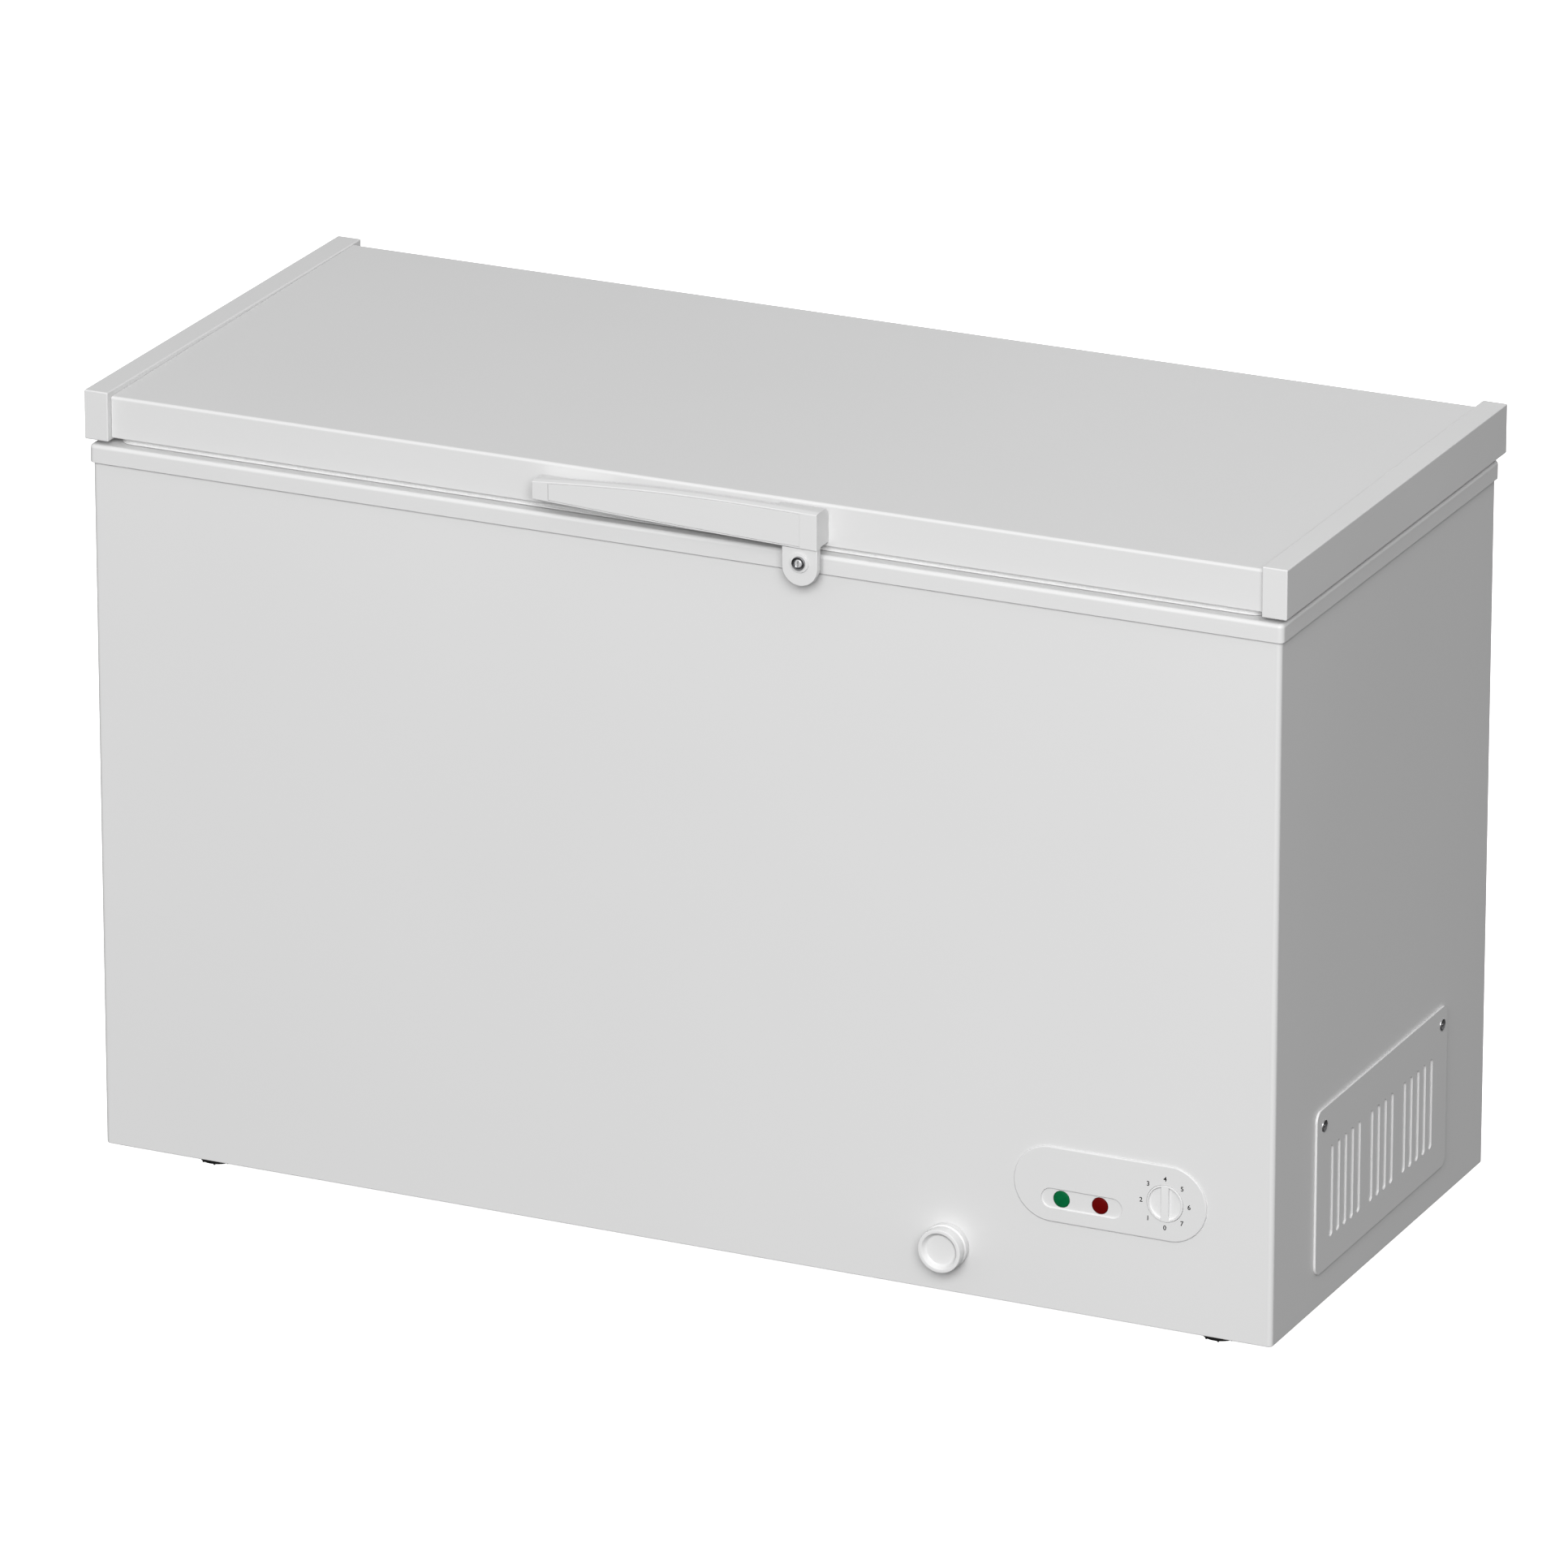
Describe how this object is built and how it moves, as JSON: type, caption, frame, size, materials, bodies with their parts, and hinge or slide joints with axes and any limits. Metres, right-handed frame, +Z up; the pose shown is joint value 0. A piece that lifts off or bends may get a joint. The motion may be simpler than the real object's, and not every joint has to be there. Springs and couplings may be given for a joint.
{
  "type": "chest freezer",
  "caption": "White chest freezer with a hinged lid, front handle and lock, front control panel with a dial, a drain cap, a side vent panel and a hanging wire basket.",
  "frame": {"origin": "on the floor under the centre of the bounding box", "axes": "+X along the width towards the vent panel's side, +Y from the front to the rear, +Z up"},
  "size_m": [1.33, 0.61, 0.8363],
  "materials": {
    "white_enamelled_steel": "gloss",
    "white_plastic": "satin",
    "white_liner": "gloss",
    "galvanised_steel": "satin",
    "polyurethane_foam": "matte",
    "copper": "satin",
    "aluminium_tube": "satin",
    "black_enamel": "satin",
    "black_plastic": "satin",
    "rubber": "matte",
    "white_vinyl": "satin",
    "green_lens": "gloss",
    "red_lens": "gloss",
    "chrome": "polished",
    "zinc_plated_steel": "satin",
    "white_wire_coating": "gloss"
  },
  "bodies": {
    "cabinet": {"outer_wrapper": "white_enamelled_steel", "rear_panel": "white_enamelled_steel", "base_pan": "galvanised_steel", "compartment_partition": "galvanised_steel", "insulation_foam": "polyurethane_foam", "inner_liner": "white_liner", "collar_frame": "white_plastic", "evaporator_coil": "aluminium_tube", "condenser_coil": "copper", "compressor": "black_enamel", "compressor_grommet_1": "rubber", "compressor_grommet_2": "rubber", "compressor_grommet_3": "rubber", "compressor_grommet_4": "rubber", "terminal_cover": "black_plastic", "suction_tube": "copper", "discharge_tube": "copper", "filter_drier": "copper", "capillary_tube": "copper", "control_fascia": "white_plastic", "control_housing": "black_plastic", "green_lens": "green_lens", "red_lens": "red_lens", "green_lamp": "black_plastic", "red_lamp": "black_plastic", "thermostat": "black_plastic", "vent_panel": "white_enamelled_steel", "vent_screw_1": "zinc_plated_steel", "vent_screw_2": "zinc_plated_steel", "drain_tube": "white_plastic", "cord_gland": "black_plastic", "lock_strike": "zinc_plated_steel", "hinge_bracket_left": "zinc_plated_steel", "hinge_bracket_right": "zinc_plated_steel", "hinge_pin_left": "zinc_plated_steel", "hinge_pin_right": "zinc_plated_steel", "hinge_spring_left": "zinc_plated_steel", "hinge_spring_right": "zinc_plated_steel"},
    "lid": {"lid_skin": "white_enamelled_steel", "lid_end_cap_left": "white_plastic", "lid_end_cap_right": "white_plastic", "lid_inner_panel": "white_plastic", "lid_foam": "polyurethane_foam", "lid_gasket": "white_vinyl", "handle_body": "white_plastic", "handle_fascia": "white_plastic", "lock_housing": "white_plastic", "hinge_leaf_left": "zinc_plated_steel", "hinge_leaf_right": "zinc_plated_steel"},
    "lock": {"lock_cylinder": "chrome", "lock_cam": "zinc_plated_steel"},
    "knob": {"thermostat_knob": "white_plastic"},
    "drain_cap": {"drain_cap": "white_plastic"},
    "drain_plug": {"drain_plug": "rubber"},
    "basket": {"wire_basket": "white_wire_coating"},
    "foot_front_left": {"foot_front_left": "black_plastic"},
    "foot_rear_left": {"foot_rear_left": "black_plastic"},
    "foot_front_right": {"foot_front_right": "black_plastic"},
    "foot_rear_right": {"foot_rear_right": "black_plastic"}
  },
  "joints": [
    {"name": "lid_hinge", "type": "hinge", "parent": "cabinet", "child": "lid", "pos_m": [0, 0.297, 0.781], "axis": [-1, 0, 0], "range_deg": [0, 82]},
    {"name": "lock_turn", "type": "hinge", "parent": "lid", "child": "lock", "pos_m": [0.1473, -0.29, 0.7743], "axis": [0, -1, 0], "range_deg": [0, 90]},
    {"name": "thermostat_turn", "type": "hinge", "parent": "cabinet", "child": "knob", "pos_m": [0.5415, -0.281, 0.1484], "axis": [0, 1, 0], "range_deg": [-180, 135]},
    {"name": "drain_cap_pull", "type": "slide", "parent": "cabinet", "child": "drain_cap", "axis": [0, -1, 0], "range_m": [0, 0.025]},
    {"name": "drain_plug_lift", "type": "slide", "parent": "cabinet", "child": "drain_plug", "axis": [0, 0, 1], "range_m": [0, 0.04]},
    {"name": "basket_slide", "type": "slide", "parent": "cabinet", "child": "basket", "axis": [1, 0, 0], "range_m": [0, 0.88]},
    {"name": "foot_front_left_turn", "type": "hinge", "parent": "cabinet", "child": "foot_front_left", "pos_m": [-0.545, -0.2425, 0.012], "axis": [0, 0, 1], "continuous": true},
    {"name": "foot_rear_left_turn", "type": "hinge", "parent": "cabinet", "child": "foot_rear_left", "pos_m": [-0.545, 0.2425, 0.012], "axis": [0, 0, 1], "continuous": true},
    {"name": "foot_front_right_turn", "type": "hinge", "parent": "cabinet", "child": "foot_front_right", "pos_m": [0.588, -0.2425, 0.012], "axis": [0, 0, 1], "continuous": true},
    {"name": "foot_rear_right_turn", "type": "hinge", "parent": "cabinet", "child": "foot_rear_right", "pos_m": [0.588, 0.2425, 0.012], "axis": [0, 0, 1], "continuous": true}
  ]
}
